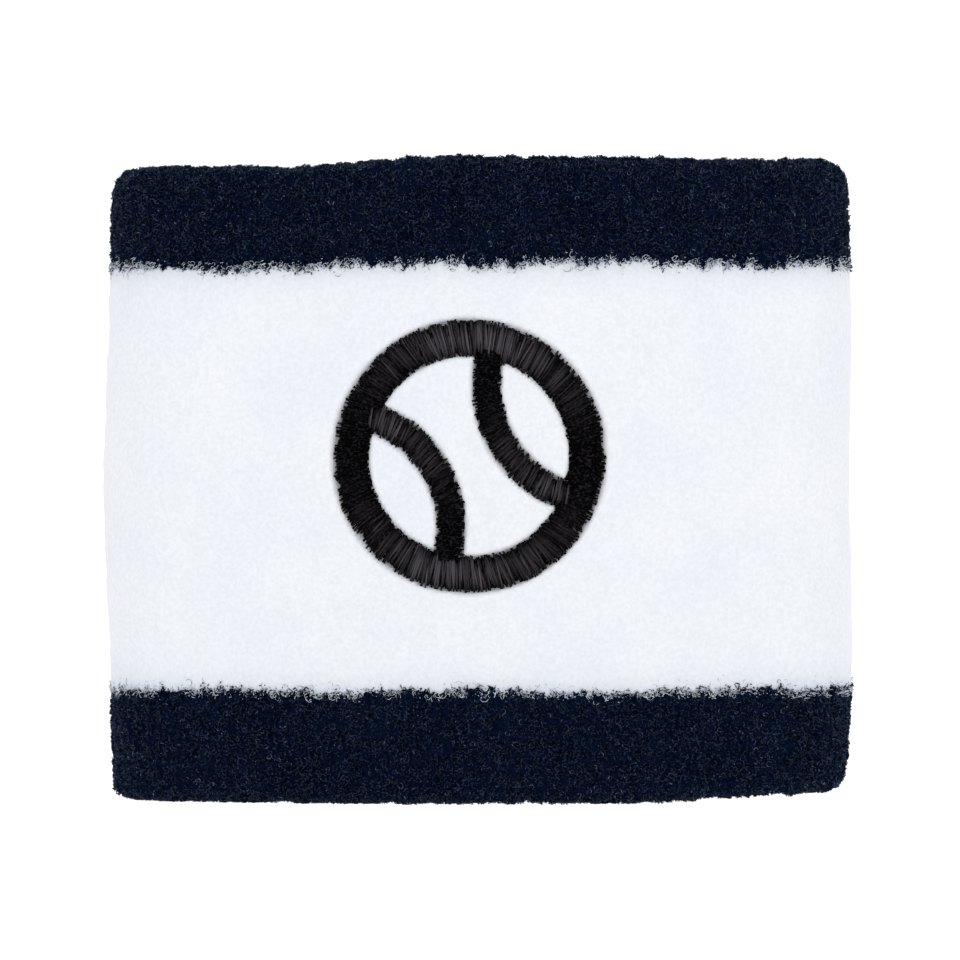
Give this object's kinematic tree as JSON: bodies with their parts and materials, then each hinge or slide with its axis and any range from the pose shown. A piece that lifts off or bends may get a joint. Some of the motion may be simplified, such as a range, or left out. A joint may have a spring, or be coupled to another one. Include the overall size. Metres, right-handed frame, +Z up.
{
  "type": "sweat wristband",
  "caption": "Two-ply knitted terry wristband with an overlocked inner seam, navy rims, a white panel, an embroidered ball and a care label.",
  "frame": {"origin": "under the middle of the band, on the surface that its lower rim stands on", "axes": "+Z up the tube from the lower rim to the upper one, +X across the flattened width, the embroidered front faces -Y"},
  "size_m": [0.0746, 0.027, 0.064],
  "materials": {
    "ground_knit": "matte",
    "white_cotton_terry": "matte",
    "navy_cotton_terry": "matte",
    "elastic_thread": "satin",
    "overlock_thread": "satin",
    "black_embroidery_thread": "satin",
    "backing_fleece": "matte",
    "label_satin": "satin"
  },
  "bodies": {
    "band": {"elastic_ground_knit": "ground_knit", "outer_white_terry": "white_cotton_terry", "top_navy_terry": "navy_cotton_terry", "bottom_navy_terry": "navy_cotton_terry", "inner_upper_white_terry": "white_cotton_terry", "inner_lower_white_terry": "white_cotton_terry", "outer_elastic_thread": "elastic_thread", "inner_upper_elastic_thread": "elastic_thread", "inner_lower_elastic_thread": "elastic_thread", "closing_seam_edges": "ground_knit", "overlock_needle_thread": "overlock_thread", "overlock_upper_looper_thread": "overlock_thread", "overlock_lower_looper_thread": "overlock_thread", "emblem_ball_outline": "black_embroidery_thread", "emblem_ball_seam_left": "black_embroidery_thread", "emblem_ball_seam_right": "black_embroidery_thread", "emblem_bobbin_thread": "overlock_thread", "emblem_backing": "backing_fleece"},
    "label": {"care_label": "label_satin"}
  },
  "joints": [
    {"name": "label_flap", "type": "hinge", "parent": "band", "child": "label", "pos_m": [0, 0.00506, 0.0298], "axis": [-1, 0, 0], "range_deg": [0, 150]}
  ]
}
